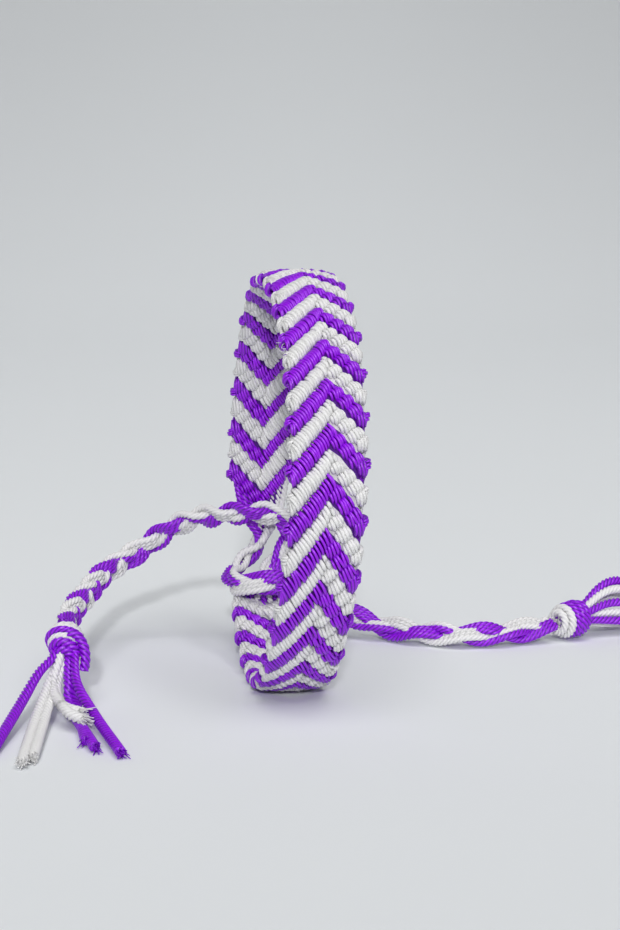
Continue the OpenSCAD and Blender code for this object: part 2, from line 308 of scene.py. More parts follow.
def thread_group():
    """Plied cotton: fine fibres that run along the thread, a slow drift of the dye, and painted
    shade in the valleys between the plies, where the colour goes towards the dark colour. The
    share of the full dye is (usual + streaks + drift) * (1 - strength of the valleys' painted
    shade * smooth step of the distance from a ply's crown). Gives the colour, the fibre height
    and the roughness."""
    color, number = "NodeSocketColor", "NodeSocketFloat"
    group, given, made = new_group(
        "plied_cotton",
        [("Dye", color, (0.5, 0.5, 0.5, 1)), ("Dark dye and painted shade", color, (0.2, 0.2, 0.2, 1)),
         ("Roughness", number, 0.5), ("Plies", number, 4.0), ("Crown", number, 0.0),
         ("Valley shade", number, 0.8)],
        [("Color", color), ("Height", number), ("Roughness", number)])
    uv = add(group, "UVMap", uv_map="thread")
    split = add(group, "SeparateXYZ", [(0, uv.outputs[0])])
    turns, length = split.outputs[0], split.outputs[1]
    around = calc(group, "ADD", calc(group, "MULTIPLY", turns, FIBRES_AROUND),
                  calc(group, "MULTIPLY", length, FIBRE_SLANT))
    along = calc(group, "DIVIDE", length, FIBRE_LENGTH)
    place = add(group, "CombineXYZ", [(0, around), (1, along)])
    fibres = add(group, "TexNoise", [("Vector", place.outputs[0]), ("Scale", 1.0),
                                     ("Detail", 3.0), ("Roughness", 0.6)]).outputs[0]
    body = add(group, "TexCoord").outputs["Object"]
    drift = add(group, "TexNoise", [("Vector", body), ("Scale", DRIFT_SCALE),
                                    ("Detail", 2.0)]).outputs[0]
    shade = calc(group, "MULTIPLY", calc(group, "SUBTRACT", drift, 0.5), DRIFT)
    streak = calc(group, "MULTIPLY", calc(group, "SUBTRACT", fibres, 0.5), STREAK)
    mask = calc(group, "ADD", calc(group, "ADD", streak, shade), USUAL_DYE, clamp=True)
    # Painted shade: away from a ply's crown, in the valleys, the colour goes towards the dark
    # colour
    ply = calc(group, "SUBTRACT", calc(group, "MULTIPLY", turns, given.outputs["Plies"]),
               calc(group, "SUBTRACT", given.outputs["Crown"], 0.5))
    from_crown = calc(group, "ABSOLUTE", calc(group, "SUBTRACT", calc(group, "FRACT", ply), 0.5))
    valley_shade = add(group, "MapRange",
                 [("Value", from_crown), ("From Min", VALLEY_SHADE_FROM), ("From Max", VALLEY_SHADE_TO)],
                 interpolation_type="SMOOTHSTEP").outputs[0]
    share_out_of_valley_shade = calc(group, "SUBTRACT", 1.0,
                     calc(group, "MULTIPLY", valley_shade, given.outputs["Valley shade"]))
    tint = add(group, "Mix",
               [("Factor", calc(group, "MULTIPLY", mask, share_out_of_valley_shade)),
                ("A", given.outputs["Dark dye and painted shade"]), ("B", given.outputs["Dye"])], data_type="RGBA")
    rough = calc(group, "ADD", given.outputs["Roughness"],
                 calc(group, "MULTIPLY", streak, STREAK_GLOSS))
    for target, source in (("Color", tint.outputs["Result"]), ("Height", fibres),
                           ("Roughness", rough)):
        group.links.new(source, made.inputs[target])
    return group


FIBRE_BUMP, FIBRE_HIGH = 0.35, 0.00006  # strength of the fibres' bump, and its height in metres
LIGHT_SPREAD = 0.0006  # how far light spreads in the fibres, in metres


def thread_material(name, dye, dark_dye_and_shade, glint, roughness, specular, glow, plies, crown, valley_shade):
    """Cotton thread: the shared group's colour, fibres as a bump, gloss with a tint of its own,
    and light that spreads a little in the fibres. The colour has painted shade in the valleys
    between the plies. The last three arguments say how many plies a turn has, where a ply's
    crown lies in it and how strong the painted shade in the valleys is."""
    material, tree, shader = new_material(name)
    cotton = add(tree, "Group",
                 [("Dye", (*dye, 1)), ("Dark dye and painted shade", (*dark_dye_and_shade, 1)), ("Roughness", roughness),
                  ("Plies", plies), ("Crown", crown), ("Valley shade", valley_shade)],
                 node_tree=cotton_group)
    bump = add(tree, "Bump", [("Height", cotton.outputs["Height"]),
                              ("Strength", FIBRE_BUMP), ("Distance", FIBRE_HIGH)])
    tree.links.new(cotton.outputs["Color"], shader.inputs["Base Color"])
    tree.links.new(cotton.outputs["Roughness"], shader.inputs["Roughness"])
    tree.links.new(bump.outputs[0], shader.inputs["Normal"])
    for socket, value in (("Specular IOR Level", specular), ("Specular Tint", (*glint, 1)),
                          ("Subsurface Weight", glow), ("Subsurface Radius", (1.0, 1.0, 1.0)),
                          ("Subsurface Scale", LIGHT_SPREAD)):
        shader.inputs[socket].default_value = value
    return material


cotton_group = thread_group()
# The second colour is the dark end of the fibres' streaks and also the painted shade in the valleys
# between the plies; each call's last number sets how strong that painted shade is
PURPLE_DYE = dict(dye=(0.40, 0.004, 1.0), dark_dye_and_shade=(0.06, 0.0, 0.23), glint=(0.92, 0.6, 1.0),
                  roughness=0.38, glow=0.0)
WHITE_DYE = dict(dye=(0.74, 0.74, 0.725), dark_dye_and_shade=(0.67, 0.66, 0.68), glint=(1.0, 1.0, 1.0),
                 roughness=0.7)
LOOSE = dict(plies=THREAD_PLIES, crown=0.0)
KNOTTED = dict(plies=2, crown=0.5)  # a ridge has a crown on top and one beneath
threads = {
    "purple": thread_material("purple_thread", **PURPLE_DYE, **LOOSE, specular=0.9, valley_shade=0.85),
    "white": thread_material("white_thread", **WHITE_DYE, **LOOSE, specular=0.2, glow=0.5,
                             valley_shade=0.5)}
knot_threads = {
    "purple": thread_material("purple_knots", **PURPLE_DYE, **KNOTTED, specular=1.0, valley_shade=0.9),
    "white": thread_material("white_knots", **WHITE_DYE, **KNOTTED, specular=0.15, glow=0.6,
                             valley_shade=0.3)}

# Painted shade: the core's colours are the rows' dyes darkened, for the shadow under the knots
CORE_SHADED_WHITES = ((0.55, 0.54, 0.56, 1), (0.68, 0.67, 0.67, 1))
CORE_SHADED_PURPLE = (0.06, 0.0, 0.19, 1)
CORE_NOISE, CORE_BUMP, CORE_BUMP_HIGH = 1500.0, 0.5, 0.0001


def shaded_core_material():
    """The core under the knots: each row's dye, from the mesh's row attribute, darkened as painted
    shade, and the band's two tips in the dark purple as painted shade of the threads between.
    The white rows go between two greys, the white in painted shade, by a fine noise."""
    material, tree, shader = new_material("core_thread_in_painted_shade")
    row = add(tree, "Attribute", attribute_name="purple_row_or_shaded_tip")
    place = add(tree, "TexCoord")
    weave = add(tree, "TexNoise", [("Vector", place.outputs["Object"]),
                                   ("Scale", CORE_NOISE)]).outputs[0]
    white = add(tree, "Mix", [("Factor", weave), ("A", CORE_SHADED_WHITES[0]), ("B", CORE_SHADED_WHITES[1])],
                data_type="RGBA")
    tint = add(tree, "Mix", [("Factor", row.outputs["Fac"]), ("A", white.outputs["Result"]),
                             ("B", CORE_SHADED_PURPLE)], data_type="RGBA")
    tree.links.new(tint.outputs["Result"], shader.inputs["Base Color"])
    bump = add(tree, "Bump", [("Height", weave), ("Strength", CORE_BUMP),
                              ("Distance", CORE_BUMP_HIGH)])
    tree.links.new(bump.outputs[0], shader.inputs["Normal"])
    shader.inputs["Roughness"].default_value = 0.8
    return material


# The band's core
CORE_SIDES = 28  # points round its cross-section
CORE_MARGIN = 1.8  # it is so much narrower than the band
CORE_SWELL = 1.25  # its height, as a share of CORE_TOP
ROW_RINGS = (0.005, 0.35, 0.65, 0.995)  # places of the rings of a row, from groove to groove
END_RINGS = np.array([0, 0.25, 0.5, 0.75])  # and of an end's rings, from its tip to the rows
END_NARROW = 5.4  # how much narrower the tip is than the core
END_THIN = 0.4  # the tip's thickness as a share of the core's


def build_core():
    """A strip with a rounded cross-section, |cos|^(2/3) across and |sin|^(2/3) high, swept along
    the V-shaped rows. Each row has its own rings on both sides of a groove, so that the colours
    change sharply. The ends narrow as a sine."""
    a = 2 * np.pi * np.arange(CORE_SIDES) / CORE_SIDES
    across = np.sign(np.cos(a)) * np.abs(np.cos(a)) ** ROUNDING
    high = np.sign(np.sin(a)) * np.abs(np.sin(a)) ** ROUNDING
    row = np.repeat(np.arange(ROWS), len(ROW_RINGS))
    u = FIRST_GROOVE + ROW_ANGLE * (row + np.tile(ROW_RINGS, ROWS))
    low = row_to_loop(FIRST_GROOVE) - END_ANGLE * (1 - END_RINGS)
    high_end = row_to_loop(LAST_GROOVE) + END_ANGLE * (1 - END_RINGS[::-1])
    angle = np.concatenate([low, row_to_loop(u), high_end])[:, None]
    trail = ARM_TRAIL * np.concatenate([START_TRAIL * END_RINGS, trail_share(u),
                                        END_RINGS[::-1]])[:, None]
    narrow = -END_NARROW * np.sin(np.radians(90 * (1 - END_RINGS)))
    half_w = (BAND_W - CORE_MARGIN + np.concatenate([narrow, np.zeros(len(u)), narrow[::-1]])) / 2
    thin = END_THIN + (1 - END_THIN) * END_RINGS
    thin = np.concatenate([thin, np.ones(len(u)), thin[::-1]])[:, None]
    x = across[None, :] * half_w[:, None]
    reach = np.abs(x - POINT_X) / HALF_W
    points = loop_point(x, angle - trail * reach, high[None, :] * CORE_TOP * CORE_SWELL * thin)
    ends = np.stack([points[0].mean(axis=0), points[-1].mean(axis=0)])
    quads, fans = skin(len(angle), CORE_SIDES)
    piece = make_mesh("band_core", np.concatenate([points.reshape(-1, 3), ends]),
                      quads[:, ::-1], fans[:, ::-1])
    # The two tips take the dark purple: painted shade of the threads that gather there
    tip = np.ones(len(END_RINGS))
    purple = np.repeat(np.concatenate([tip, row % 2 == PURPLE, tip]), CORE_SIDES)
    layer = piece.data.attributes.new("purple_row_or_shaded_tip", "FLOAT", "POINT")
    layer.data.foreach_set("value", np.append(purple, [1, 1]).astype(np.float32))
    return piece


# The knots of a row. The left arm and the point are one coil, with a ridge at each COIL_STEP.
COIL_FROM, COIL_TO, COIL_STEP = -3.75, 0.7, 0.237
COIL_SLOPE, COIL_BEND, COIL_LENGTH, COIL_TAPER = 58.0, 32.0, 2.1, -0.1
UNEVEN = 0.06  # every other ridge of the coil is so much higher
POINT_FROM, POINT_RUN = -0.65, 1.2  # where the coil starts to turn into the point, and how far
# What the point adds to the place over the arm, the slope, the bend and the length
POINT_OVER, POINT_SLOPE, POINT_BEND, POINT_LENGTH = 0.42, 5, -12, -0.15
COIL_ROUND, KNOT_ROUND = 0.5, 0.95  # power of the half wave: how full a ridge is at its ends
RIDGE_STEP, KNOT_BEND = 0.345, 16.0  # between the ridges of a right knot, and their bend
KNOT_HALF = 0.75  # half the width of such a knot
# Length and height of its middle ridge as shares of the usual, and what its outer ones lack
KNOT_LENGTH, OUTER_LENGTH, KNOT_HIGH, OUTER_HIGH = 1.06, 0.45, 1.12, 0.42
# Knots of the right arm: place across, place over the arm, length, number of ridges, slope
ARM_KNOTS = ((1.0, -0.1, 2.15, 5, 65), (2.05, 0.0, 2.3, 5, 63), (3.1, 0.08, 2.4, 5, 63),
             (3.9, 0.1, 2.3, 4, 78))
EDGE_TURNS = ((-4.05, 2.0), (-3.88, 2.25))  # the left edge's steep turns: place across, length
TURN_UNDER, TURN_SLOPE, TURN_BEND = 0.15, 80.0, 10.0


def columns(*values):
    """A table with a column for each of the values, which are arrays or one value for all."""
    return np.stack(np.broadcast_arrays(*values), -1)


def row_ridges():
    """Every ply ridge of one row: place across, place along the loop over the row's middle,
    slope in degrees at its middle, bend over its length, length, share of the full height, and
    how round it is from end to end.
    The left arm and the point are one coil of ridges, which ends in two steep turns at the
    band's edge. The right arm is separate knots of five ridges, and of four in the last and
    steepest one."""
    coil = np.arange(COIL_FROM, COIL_TO, COIL_STEP)
    point = np.clip((coil - POINT_FROM) / POINT_RUN, 0, 1)  # 0 on the arm, 1 at the point
    parts = [columns(coil, -ARM_SLOPE * np.abs(coil - POINT_X) + POINT_OVER * point,
                     COIL_SLOPE + POINT_SLOPE * point, COIL_BEND + POINT_BEND * point,
                     COIL_LENGTH + COIL_TAPER * coil + POINT_LENGTH * point,
                     1 + UNEVEN * np.cos(np.pi * np.arange(len(coil))), COIL_ROUND)]
    for middle, over, length, count, slope in ARM_KNOTS:
        offset = RIDGE_STEP * (np.arange(count) - (count - 1) / 2)
        tilt = np.radians(slope)
        outer = (offset / KNOT_HALF) ** 2  # 0 at a knot's middle
        parts.append(columns(middle + offset * np.sin(tilt),
                             -ARM_SLOPE * (middle - POINT_X) + over + offset * np.cos(tilt),
                             slope, KNOT_BEND, length * (KNOT_LENGTH - OUTER_LENGTH * outer),
                             KNOT_HIGH - OUTER_HIGH * outer, KNOT_ROUND))
    middle, length = np.array(EDGE_TURNS).T
    parts.append(columns(middle, -ARM_SLOPE * (POINT_X - middle) - TURN_UNDER, TURN_SLOPE,
                         TURN_BEND, length, 1.0, COIL_ROUND))
    return np.concatenate(parts).T


def surface_frame(x, angle, face):
    """Outward normal of the band's rounded cross-section at places across and along it: outward
    by the square of the thickness's share, and sideways by the square of the place's."""
    a = np.radians(angle)
    lift = np.stack([np.zeros_like(a), -np.cos(a), np.sin(a)], -1) * face
    tilt = (np.sign(x) * (np.abs(x) / HALF_W) ** 2)[..., None] * np.array([1.0, 0, 0])
    return unit(lift * np.maximum(thickness_at(x), LEAST_LIFT)[..., None] ** 2 + tilt)


def rows_of(colour, count):
    """Place on the loop, share of the full trail, local stretch and pull of each row of a
    colour, repeated for every one of its count ridges."""
    row = np.repeat(np.arange(ROWS)[np.arange(ROWS) % 2 == colour], count)
    u = FIRST_GROOVE + ROW_ANGLE * (row + 0.5)
    stretch = 1 - ROW_SQUEEZE * np.radians(1) * np.sin(2 * np.radians(u))
    return row_to_loop(u), trail_share(u), stretch, pulled_share(u)


RIDGE_RINGS, RIDGE_SIDES = 7, 6  # points along a ridge, and round it
RIDGE_W = {PURPLE: 1.05 * PLY, WHITE: 1.35 * PLY}
FOOT = CORE_TOP - 0.25  # height that the ends of a ridge sink to
THIN_END = 0.6  # share of a ridge's thickness at its ends
BULGE_RUN = 1.02  # length of the half wave as a share of the ridge's
# The purple differs from the usual by these shares, and the white by as much the other way
PULLED_LENGTH = 0.13  # pulled rows show longer ridges outside
INNER_COIL, INNER_KNOT = 0.22, 0.04  # inside, its coil and knots are shorter
COIL_END = 0.6  # ridges to the left of this place belong to the coil
# Added to the height of all rows, taken from the purple's, and added to it by the pull
ROW_SWELL, COLOUR_SWELL, PULLED_SWELL = 0.01, 0.04, 0.05
# Chance differences: slope in degrees, place across and along, share of the length and height
SLOPE_CHANCE, ACROSS_CHANCE, ALONG_CHANCE = 3.5, 0.02, 0.05
LENGTH_CHANCE, HEIGHT_CHANCE = 0.05, 0.03


def build_ridges(name, colour, face):
    """All ply ridges of one colour on one face, outside (1) or inside (-1). A ridge runs down
    to the right on a bend: its slope grows evenly along it, so its place is the integral of the
    slope's cosine and sine. Its height over the core is a power of a half wave, so that both
    ends sink in the grooves. Inside, the row is the mirror image."""
    field = row_ridges()
    middle, full, stretch, pulled = rows_of(colour, field.shape[1])
    x0, v0, slope, bend, length, share, roundness = np.tile(field, ROWS // 2)
    count = len(middle)
    slope = np.radians(slope + rng.normal(0, SLOPE_CHANCE, count))[:, None]
    bend = np.radians(bend)[:, None] / length[:, None]
    x0 = x0 + rng.normal(0, ACROSS_CHANCE, count)
    v0 = v0 * full + rng.normal(0, ALONG_CHANCE, count)
    length = length * stretch * rng.normal(1, LENGTH_CHANCE, count)
    sign = 1 if colour == PURPLE else -1
    if face > 0:
        length = length * (1 + PULLED_LENGTH * sign * pulled)
    else:
        length = length * np.where(x0 < COIL_END, 1 - INNER_COIL * sign, 1 - INNER_KNOT * sign)
    t = np.linspace(-0.5, 0.5, RIDGE_RINGS)[None, :] * length[:, None]
    x = x0[:, None] + (np.sin(slope + bend * t) - np.sin(slope)) / bend
    v = v0[:, None] - (np.cos(slope) - np.cos(slope + bend * t)) / bend
    x = face * np.clip(x, -TIP_X, TIP_X)
    bulge = np.clip(np.cos(np.pi * t / (length[:, None] * BULGE_RUN)), 0, 1)
    swell = ROW_SWELL - COLOUR_SWELL * sign + PULLED_SWELL * sign * pulled
    run = LOOP_R if face > 0 else LOOP_R - BAND_T
    angle = middle[:, None] + np.degrees(v * stretch[:, None] / run)
    share = share + rng.normal(0, HEIGHT_CHANCE, count)
    top = ((KNOT_TOP + swell - PLY_HIGH) * share)[:, None]
    height = FOOT + (top - FOOT) * bulge ** roundness[:, None]
    paths = loop_point(x, angle, face * height * thickness_at(x))
    radius = PLY_HIGH * (THIN_END + (1 - THIN_END) * bulge ** 0.5)
    return make_mesh(name, *sweep(paths, surface_frame(x, angle, face), radius, RIDGE_SIDES,
                                  flat=RIDGE_W[colour] / 2 / PLY_HIGH))


STRAYS, STRAY_R, STRAY_RINGS = 6, 0.035, 7  # stray fibres of a colour, radius, points along one
STRAY_ANGLE, STRAY_SPREAD, STRAY_DEPTH = 45, 2.5, 0.8  # place on the loop, its spread, and depth
STRAY_LENGTH, STRAY_LEAN, STRAY_CURL = (0.5, 1.4), 0.6, 0.5
STRAY_UP = np.array([0.1, 0.3, 0.9])


def stray_fibres():
    """A few loose fibres that stand off the near left edge of the band. Each is the curve
    base + reach * (s * heading + s^2 * curl)."""
    base = loop_point(np.full(STRAYS, -EDGE_X), rng.normal(STRAY_ANGLE, STRAY_SPREAD, STRAYS),
                      rng.uniform(-STRAY_DEPTH, STRAY_DEPTH, STRAYS))
    heading = unit(np.stack([-np.ones(STRAYS), rng.normal(0, STRAY_LEAN, STRAYS),
                             rng.normal(0, STRAY_LEAN, STRAYS)], -1))
    s = np.linspace(0, 1, STRAY_RINGS)[None, :, None]
    reach = rng.uniform(*STRAY_LENGTH, STRAYS)[:, None, None]
    curl = rng.normal(0, STRAY_CURL, (STRAYS, 1, 3))
    paths = base[:, None] + reach * (s * heading[:, None] + s ** 2 * curl)
    return sweep(paths, STRAY_UP, STRAY_R, around=4)


WRAP_SIDES = np.array([-1, -1, -1, 1, 1, 1])  # the plies of a row's two wraps: left or right
WRAP_PLIES = np.array([-1, 0, 1, -1, 0, 1])  # and place beside each other
WRAP_TURN = 30  # a ply turns by this angle on both sides of the edge
WRAP_REACH = {PURPLE: 0.18, WHITE: -0.05}  # how far a wrap stands past the edge
WRAP_HIGH = BAND_T / 2 - 0.1  # full height of a wrap over the middle of the band
WRAP_STEP, WRAP_SLANT, WRAP_RISE = 0.33, 0.5, 1.6  # between plies, slant, and rise over the arm
WRAP_ROUND = 0.08  # how far its outer plies lie behind the middle one
WRAP_THIN = (0.45, 0.65, 2.6)  # its thickness is first + second * cos(third * turn)
WRAP_CHANCE = 0.05


def build_edge_wraps(name, colour):
    """Threads that turn back round the two edges over each row's end: three plies side by side,
    each an arc round the rounded edge from the outer face to the inner one, with the stray
    fibres of the colour."""
    middle, full, stretch, _ = rows_of(colour, len(WRAP_SIDES))
    side = np.tile(WRAP_SIDES, ROWS // 2)[:, None]
    ply = np.tile(WRAP_PLIES, ROWS // 2)[:, None]
    turn = np.radians(np.linspace(WRAP_TURN, -WRAP_TURN, RIDGE_RINGS))[None, :]
    reach = HALF_W + WRAP_REACH[colour] - WRAP_ROUND * np.abs(ply)
    reach = reach + rng.normal(0, WRAP_CHANCE, ply.shape)
    across = side * reach * np.cos(turn) ** ROUNDING
    high = np.sign(turn) * np.abs(np.sin(turn)) ** ROUNDING * WRAP_HIGH
    rise = -ARM_SLOPE * (EDGE_X - side * POINT_X) * full[:, None] + WRAP_RISE * stretch[:, None]
    v = (rise + WRAP_STEP * ply - WRAP_SLANT * side * np.sin(turn)
         + rng.normal(0, WRAP_CHANCE, ply.shape))
    angle = middle[:, None] + np.degrees(v / MID_R)
    paths = loop_point(across, angle, high * np.ones_like(across))
    a = np.radians(angle)
    lift = np.stack([np.zeros_like(a), -np.cos(a), np.sin(a)], -1)
    ups = unit(lift * (np.sin(turn) * np.ones_like(a))[..., None]
               + (side * np.cos(turn))[..., None] * np.array([1.0, 0, 0]))
    radius = PLY_HIGH * (WRAP_THIN[0] + WRAP_THIN[1] * np.cos(WRAP_THIN[2] * turn))
    wraps = sweep(paths, ups, radius, RIDGE_SIDES, flat=PLY / 2 / PLY_HIGH)
    return make_mesh(name, *join([wraps, stray_fibres()]))


finish_piece(build_core(), shaded_core_material(), "band")
for colour, word in ((PURPLE, "purple"), (WHITE, "white")):
    for face, where in ((1, "outer"), (-1, "inner")):
        piece = build_ridges(f"{word}_{where}_knots", colour, face)
        finish_piece(piece, knot_threads[word], "band")
    wraps = build_edge_wraps(f"{word}_edge_wraps", colour)
    finish_piece(wraps, knot_threads[word], "band")


# Paths
CURVE_STEPS = 24  # points on a curve between two given ones


def smooth_path(points, spacing):
    """Evenly spaced points on the smooth curve through given ones (Catmull-Rom): a cubic of the
    four points round each stretch. Gives the points and their distances along the curve."""
    p = np.asarray(points, float)
    p = np.concatenate([2 * p[:1] - p[1:2], p, 2 * p[-1:] - p[-2:-1]])
    t = np.linspace(0, 1, CURVE_STEPS, endpoint=False)[None, :, None]
    p0, p1, p2, p3 = (p[k:len(p) - 3 + k][:, None, :] for k in range(4))
    curve = 0.5 * (2 * p1 + (p2 - p0) * t + (2 * p0 - 5 * p1 + 4 * p2 - p3) * t ** 2
                   + (3 * p1 - p0 - 3 * p2 + p3) * t ** 3)
    curve = np.concatenate([curve.reshape(-1, 3), p[-2:-1]])
    along = np.concatenate([[0], np.cumsum(np.linalg.norm(np.diff(curve, axis=0), axis=1))])
    even = np.linspace(0, along[-1], int(along[-1] / spacing) + 1)
    return np.stack([np.interp(even, along, curve[:, k]) for k in range(3)], -1), even


def carried_side(path, first):
    """A side direction for each point of a path, turned as little as it can from the first, and
    the path's own direction there."""
    tangent = unit(np.gradient(path, axis=0))
    side, out = np.asarray(first, float), []
    for t in tangent:
        side = side - side.dot(t) * t
        side = side / np.linalg.norm(side)
        out.append(side)
    return np.array(out), tangent


def strand_threads(route, braid, number, places):
    """The threads of one strand of a three-strand braid, number 1 to 3. The strand's middle
    swings sideways as a sine and over and under as a sine of twice the angle; its threads lie
    side by side in the plane of the braid, at places in mm from the strand's middle."""
    pitch, first_turn, first_side = braid
    path, along = smooth_path(route, BRAID_STEP)
    side, tangent = carried_side(path, first_side)
    up = np.cross(tangent, side)
    turn = 2 * np.pi * (along / pitch + (1 - number) / 3) + np.radians(first_turn)
    middle = (path + (BRAID_SWING * np.sin(turn))[:, None] * side
              + (BRAID_WEAVE * np.sin(2 * turn))[:, None] * up)
    heading = unit(np.gradient(middle, axis=0))
    beside = unit(np.cross(up, heading))
    return [(middle + place * beside, up) for place in places]


def thread(path, ups, radius):
    """One plied thread along a path, its outline twisted to the left."""
    return sweep(path[None], ups[None], np.broadcast_to(radius, len(path))[None], THREAD_SIDES,
                 plies=THREAD_PLIES, pitch=THREAD_PITCH)


UNDER_ROW = 2.5  # angle by which an end thread starts under the last row
# Shares of its place across that an end thread keeps at the row's edge and on the band's tip, of
# the braid's place that it takes on the tip, and of the way from the edge to the tip's end
AT_EDGE, ON_TIP, DRAWN, TIP_WAY = 0.94, 0.66, 0.1, 0.6
RUN_ON, BRAID_POINT = 0.1, 6  # share of a step past the braid's start, then its point


def end_thread(end, place, path, up):
    """A thread that comes out from under the last row's edge, at a place across the band, draws
    in towards the band's tip and runs on into a thread of the braid. end is -1 at the band's
    lower end and 1 at its upper one."""
    groove = row_to_loop(FIRST_GROOVE if end < 0 else LAST_GROOVE)
    trail = ARM_TRAIL * (START_TRAIL if end < 0 else 1.0)
    edge = groove - trail * abs(place) / HALF_W
    last = groove + end * END_ANGLE
    marks = [loop_point(place, edge - end * UNDER_ROW, 0.0),
             loop_point(place * AT_EDGE, edge, 0.0),
             loop_point(place * ON_TIP + path[0, 0] * DRAWN, edge + TIP_WAY * (last - edge), 0.0)]
    past_start = path[0] + RUN_ON * (path[0] - marks[-1])
    line, _ = smooth_path([*marks, past_start, path[BRAID_POINT]], BRAID_STEP)
    ups, _ = carried_side(line, up[0])
    return thread(line, ups, TIGHT_R)


# Colours of the threads of each strand, with their places side by side
BUNDLES = {1: (("white", (-0.36,)), ("purple", (0.36,))),
           2: (("purple", (-0.5, 0.0, 0.5)),),
           3: (("white", (-0.5, 0.0, 0.5)),)}
END_SPACING = 1.03  # between the threads that leave the band's end
for tail, end, route, braid in (("left", -1, LEFT_ROUTE, LEFT_BRAID),
                                ("right", 1, RIGHT_ROUTE, RIGHT_BRAID)):
    joined = []
    for number, bundle in BUNDLES.items():
        for word, places in bundle:
            lines = strand_threads(route, braid, number, places)
            joined += [(word, path, up) for path, up in lines]
            piece = make_mesh(f"{tail}_tail_strand_{number}_{word}",
                              *join([thread(path, ups, TIGHT_R) for path, ups in lines]))
            finish_piece(piece, threads[word], f"{tail}_tail_strand_{number}")
    joined.sort(key=lambda item: item[1][0, 0])  # from left to right at the braid's start
    for word, material in threads.items():
        parts = [end_thread(end, END_SPACING * (i - (len(joined) - 1) / 2), path, up)
                 for i, (colour, path, up) in enumerate(joined) if colour == word]
        piece = make_mesh(f"{tail}_tail_start_{word}", *join(parts))
        finish_piece(piece, material, "band")


# End knots and tassels
WRAP_POINTS = 96  # points on one turn of thread


def knot_axes(axis):
    """Along the knot, and the two directions across it, as in the part's source."""
    t = unit(axis)
    side = unit(np.cross([0, 0, 1], t))
    return t, side, np.cross(t, side)


def build_knot_wrap(centre, axis, place, radius, thick, lean_side, lean_top):
    """One turn of thread round a knot: a ring round the axis, leaning along it as the turn goes
    from side to side and from top to bottom."""
    t, side, up = knot_axes(axis)
    a = np.linspace(0, 2 * np.pi, WRAP_POINTS)[:, None]
    outward = np.cos(a) * side + np.sin(a) * up
    path = (centre + t * (place + lean_side * np.cos(a) + lean_top * np.sin(a))
            + radius * np.cos(a) * side + radius * np.sin(a) * up)
    return thread(path, outward, thick)


# Turns of thread round an end knot: colour, place along it, radius of the turn and of the
# thread, and how far the turn leans along the knot on its side and on its top
WRAPS = {"left": (("white", -1.9, 1.4, 0.5, 0.1, 0.2), ("white", -1.1, 1.85, 0.45, 0.2, 0.1),
                  ("purple", -0.35, 2.1, 0.42, 0.3, 0.0), ("white", 0.4, 1.72, 0.45, 0.35, 0.0),
                  ("purple", 1.2, 1.4, 0.62, 0.4, 0.0), ("purple", 1.85, 0.8, 0.62, 0.2, 0.0),
                  ("purple", 0.1, 1.1, 0.9, 0.2, 0.0)),
         "right": (("white", -1.5, 1.35, 0.55, -0.3, 0.2), ("white", -0.7, 1.85, 0.55, -0.4, 0.2),
                   ("purple", 0.2, 1.95, 0.58, -0.5, 0.1), ("purple", 1.1, 2.0, 0.6, -0.3, 0.1),
                   ("purple", 2.0, 1.75, 0.6, -0.1, 0.1), ("purple", 2.2, 0.9, 0.7, 0.1, 0.1))}
# Threads of a tassel: colour, place in the knot's cross-section, and points that it runs through
TASSELS = {
    "left": (("purple", (-1.3, 0.3), (-31, -10.9, 4.9), (-33.4, -17, 2.6), (-36.6, -28.6, 0.7)),
             ("white", (-1, -0.6), (-30.1, -11.9, 3.2), (-31.8, -19.9, 1.3), (-33.5, -33.1, 0.7)),
             ("white", (-0.5, -0.9), (-29.4, -11.8, 2.9), (-30.8, -19.7, 1.2), (-32.3, -31.4, 0.7)),
             ("white", (-0.5, 0.3), (-29.3, -10.9, 3.4), (-28.5, -16.2, 2.4), (-26.2, -18.7, 2)),
             ("white", (-0.1, -0.4), (-28.9, -11.3, 3), (-28.1, -18.2, 2.2), (-26.1, -21.1, 1.7)),
             ("purple", (0.4, -0.1), (-27.5, -10.6, 3.4), (-27.3, -13.5, 1.2), (-25.5, -28.6, 0.7)),
             ("purple", (0.9, -0.7), (-26.7, -10.4, 3.3), (-26.6, -13.6, 1.2), (-26.3, -25.9, 0.7)),
             ("purple", (1.2, 0.3), (-26.5, -12.1, 3.8), (-24.8, -19.2, 1.6), (-22.9, -31, 0.7))),
    "right": (("purple", (0.6, 0.9), (50.6, 21.6, 7.4), (63, 28.5, 3.4)),
              ("white", (-0.2, 1), (51, 20.6, 6.4), (64.6, 25.6, 2.2)),
              ("purple", (-0.8, 0.5), (51.4, 20, 4.6), (65.6, 22.6, 1.2)),
              ("white", (1, 0.1), (50.4, 22.8, 5), (61.4, 31.6, 0.7)),
              ("purple", (-0.9, -0.4), (51.6, 18.6, 2.2), (66, 19.6, 0.7)),
              ("white", (0.1, -0.9), (52, 21.2, 1.4), (65.4, 27.4, 0.7)),
              ("purple", (0.8, -0.6), (50.8, 22.4, 2.4), (62.6, 30, 0.7)),
              ("white", (0, 0), (51.6, 19.6, 3.2), (66.4, 24, 0.7)))}
# The last turn of the left knot hangs down at its right side
HANGING_END = [[-27.2, -7.3, 9.1], [-26.1, -7.5, 8.5], [-25.4, -7.9, 7.2], [-25.3, -8.3, 5.8],
               [-25.5, -8.5, 4.5]]
HANGING_R = 0.6
KNOT_BACK, KNOT_FRONT = 1.5, 2.2  # a tassel's thread runs through its knot from here to here
LOOSE_FROM, LOOSE_RUN = 4, 8  # where it starts to open, and how far
TIP_FIBRES = 22  # fibres that fray from the tip of a thread
TIP_R = np.linspace(0.11, 0.05, 5)  # radius of such a fibre along it
FRAY_SINK = 0.35  # how deep it starts in the thread
FRAY_LENGTH, FRAY_MORE = 0.5, 0.6  # its least length, and the most that chance adds
FRAY_SPREAD, FRAY_LEAN, FRAY_CHANCE = 0.5, 0.3, 0.14


